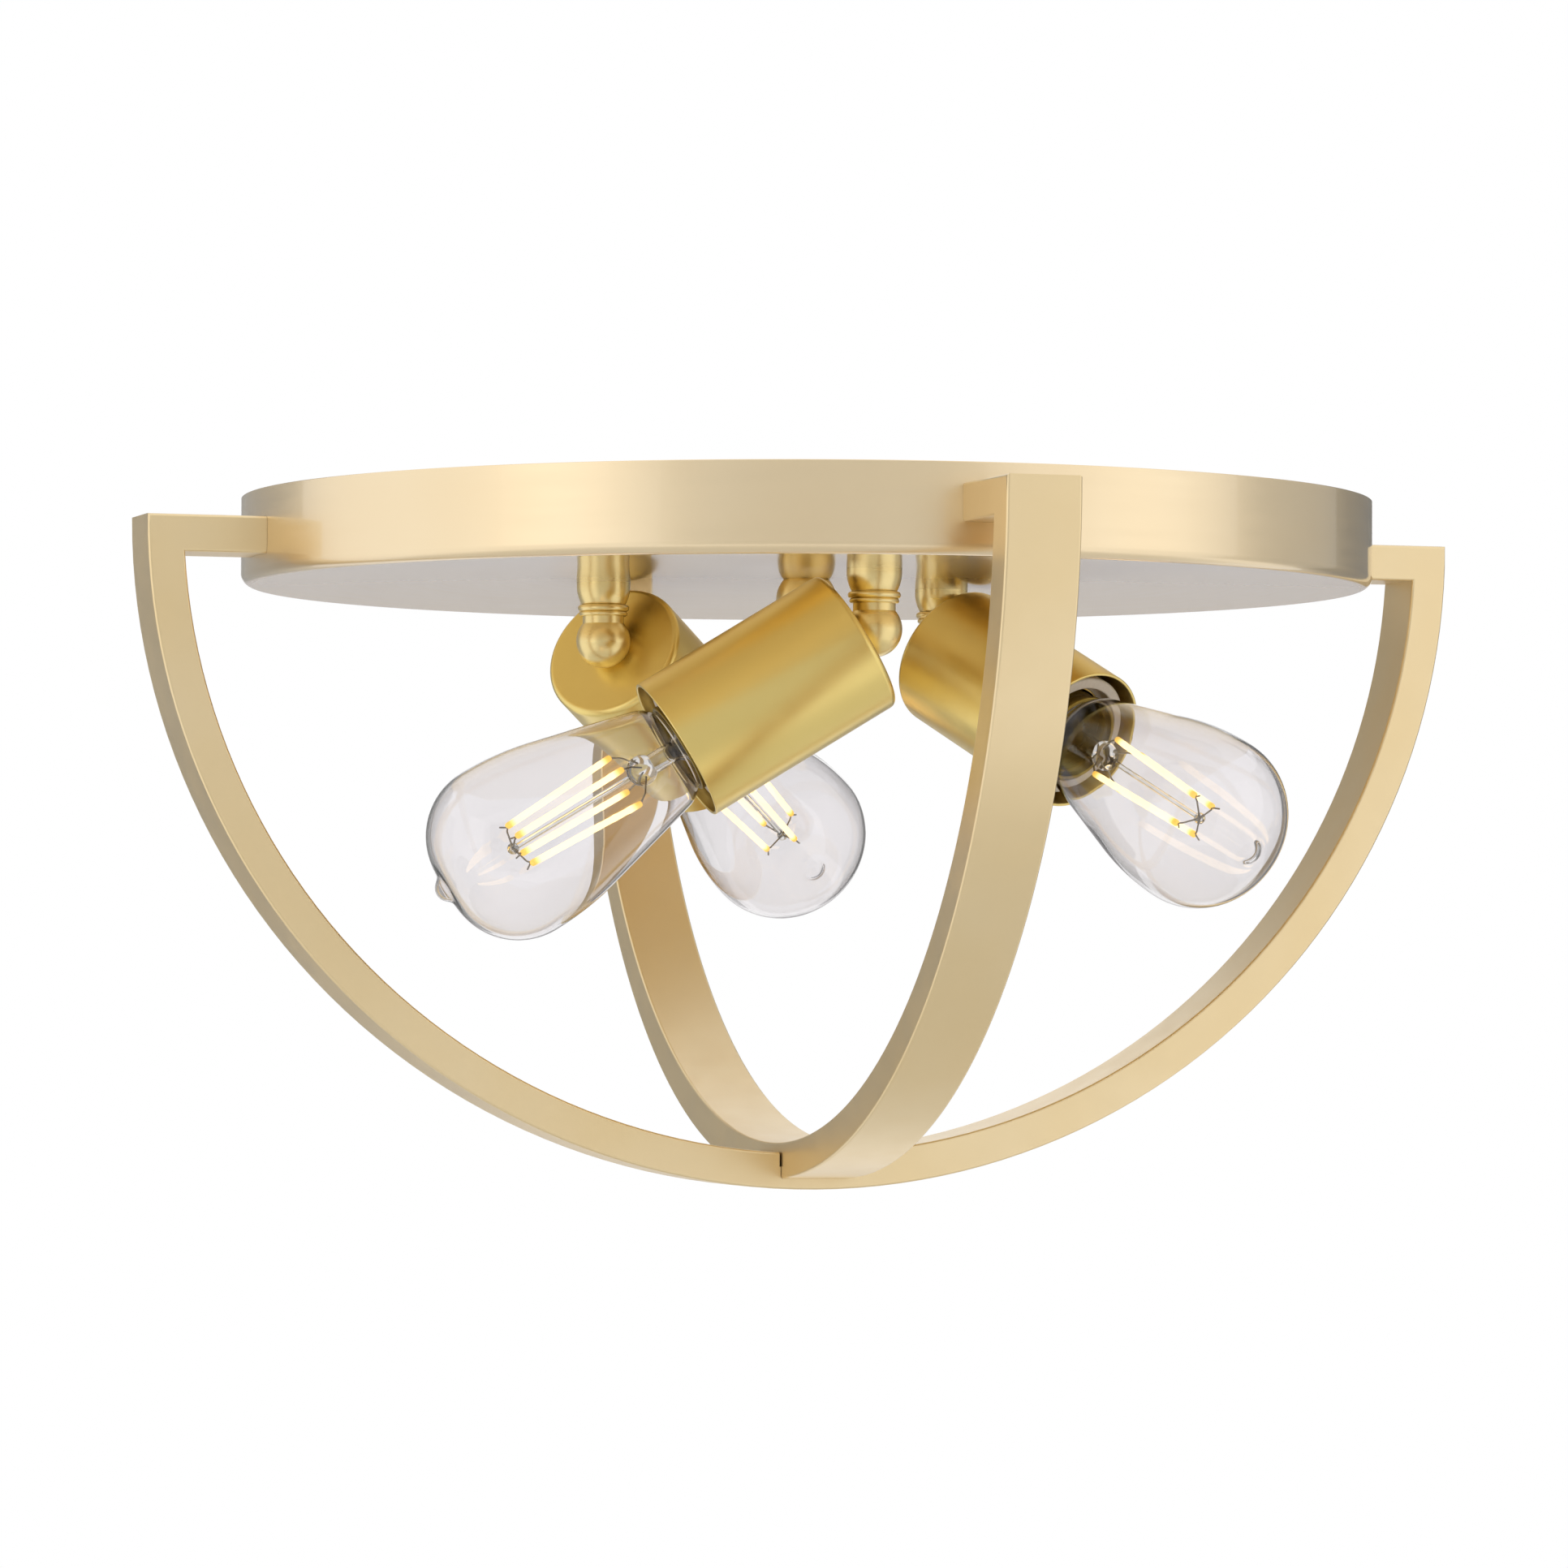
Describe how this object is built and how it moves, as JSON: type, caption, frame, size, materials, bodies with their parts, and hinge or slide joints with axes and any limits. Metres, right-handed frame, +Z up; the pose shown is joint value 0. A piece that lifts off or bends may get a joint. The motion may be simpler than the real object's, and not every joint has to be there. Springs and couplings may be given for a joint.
{
  "type": "flush mount ceiling light",
  "caption": "Flush mount ceiling light with a shallow round pan, two crossed half hoops of flat bar and swivelling cup lamps with clear filament bulbs.",
  "frame": {"origin": "centre of the pan and of the crossbar slots, in the ceiling plane", "axes": "+Z up to the ceiling, X along the crossbar and the side hoop, -Y the front"},
  "size_m": [0.4064, 0.4064, 0.2043],
  "materials": {
    "pan_plate": "satin champagne gold plate on spun steel",
    "hoop_plate": "satin champagne gold plate on bent bar",
    "turned_plate": "satin gold plate on turned brass",
    "cup_plate": "satin gold plate on drawn brass",
    "zinc_steel": "zinc plated steel",
    "ground_green": "green dyed steel screw",
    "cream_ceramic": "cream unglazed lampholder ceramic",
    "contact_brass": "bare rolled brass",
    "bulb_brass": "dull brass screw base",
    "solder": "dull solder",
    "black_glass": "black insulator glass",
    "clear_glass": "clear blown glass",
    "stem_glass": "clear drawn glass",
    "led_stick": "lit phosphor coated stick with yellow ends",
    "bright_wire": "drawn nickel wire"
  },
  "bodies": {
    "root": {"ceiling_pan": "pan_plate", "side_hoop": "hoop_plate", "front_hoop": "hoop_plate", "hoop_screws": "zinc_steel", "crossbar": "zinc_steel", "crossbar_nipple": "zinc_steel", "crossbar_nut": "zinc_steel", "ball_finial": "turned_plate", "ground_screw": "ground_green", "stem_washers": "zinc_steel", "left_collar": "turned_plate", "front_collar": "turned_plate", "right_collar": "turned_plate"},
    "left_lamp": {"left_swivel_ball": "turned_plate", "left_stem_nut": "zinc_steel", "left_cup": "cup_plate", "left_cup_nipple": "zinc_steel", "left_cup_nut": "zinc_steel", "left_holder_body": "cream_ceramic", "left_screw_shell": "contact_brass", "left_centre_contact": "contact_brass"},
    "left_bulb_lift": {"left_bulb_tip": "solder"},
    "left_bulb": {"left_bulb_base": "bulb_brass", "left_bulb_insulator": "black_glass", "left_bulb_glass": "clear_glass", "left_glass_mount": "stem_glass", "left_filaments": "led_stick", "left_support_wires": "bright_wire"},
    "front_lamp": {"front_swivel_ball": "turned_plate", "front_stem_nut": "zinc_steel", "front_cup": "cup_plate", "front_cup_nipple": "zinc_steel", "front_cup_nut": "zinc_steel", "front_holder_body": "cream_ceramic", "front_screw_shell": "contact_brass", "front_centre_contact": "contact_brass"},
    "front_bulb_lift": {"front_bulb_tip": "solder"},
    "front_bulb": {"front_bulb_base": "bulb_brass", "front_bulb_insulator": "black_glass", "front_bulb_glass": "clear_glass", "front_glass_mount": "stem_glass", "front_filaments": "led_stick", "front_support_wires": "bright_wire"},
    "right_lamp": {"right_swivel_ball": "turned_plate", "right_stem_nut": "zinc_steel", "right_cup": "cup_plate", "right_cup_nipple": "zinc_steel", "right_cup_nut": "zinc_steel", "right_holder_body": "cream_ceramic", "right_screw_shell": "contact_brass", "right_centre_contact": "contact_brass"},
    "right_bulb_lift": {"right_bulb_tip": "solder"},
    "right_bulb": {"right_bulb_base": "bulb_brass", "right_bulb_insulator": "black_glass", "right_bulb_glass": "clear_glass", "right_glass_mount": "stem_glass", "right_filaments": "led_stick", "right_support_wires": "bright_wire"}
  },
  "joints": [
    {"name": "left_swivel", "type": "hinge", "parent": "root", "child": "left_lamp", "pos_m": [-0.05387, 0.0311, -0.04063], "axis": [0, 0, 1], "range_deg": [-30, 10]},
    {"name": "left_bulb_rise", "type": "slide", "parent": "left_lamp", "child": "left_bulb_lift", "axis": [0.659, 0.5997, -0.454], "range_m": [0, 0.0127]},
    {"name": "left_bulb_turn", "type": "hinge", "parent": "left_bulb_lift", "child": "left_bulb", "pos_m": [-0.05387, 0.0311, -0.04063], "axis": [0.659, 0.5997, -0.454], "range_deg": [0, 1260]},
    {"name": "front_swivel", "type": "hinge", "parent": "root", "child": "front_lamp", "pos_m": [0, -0.0622, -0.04063], "axis": [0, 0, 1], "range_deg": [-35, 70]},
    {"name": "front_bulb_rise", "type": "slide", "parent": "front_lamp", "child": "front_bulb_lift", "axis": [-0.8402, 0.1451, -0.5225], "range_m": [0, 0.0127]},
    {"name": "front_bulb_turn", "type": "hinge", "parent": "front_bulb_lift", "child": "front_bulb", "pos_m": [0, -0.0622, -0.04063], "axis": [-0.8402, 0.1451, -0.5225], "range_deg": [0, 1260]},
    {"name": "right_swivel", "type": "hinge", "parent": "root", "child": "right_lamp", "pos_m": [0.05387, 0.0311, -0.04063], "axis": [0, 0, 1], "range_deg": [-40, 25]},
    {"name": "right_bulb_rise", "type": "slide", "parent": "right_lamp", "child": "right_bulb_lift", "axis": [0.3613, -0.823, -0.4384], "range_m": [0, 0.0127]},
    {"name": "right_bulb_turn", "type": "hinge", "parent": "right_bulb_lift", "child": "right_bulb", "pos_m": [0.05387, 0.0311, -0.04063], "axis": [0.3613, -0.823, -0.4384], "range_deg": [0, 1260]}
  ],
  "couplings": [
    {"joint": "left_bulb_turn", "follows": "left_bulb_rise", "rad_per_m": 1731.4},
    {"joint": "front_bulb_turn", "follows": "front_bulb_rise", "rad_per_m": 1731.4},
    {"joint": "right_bulb_turn", "follows": "right_bulb_rise", "rad_per_m": 1731.4}
  ]
}
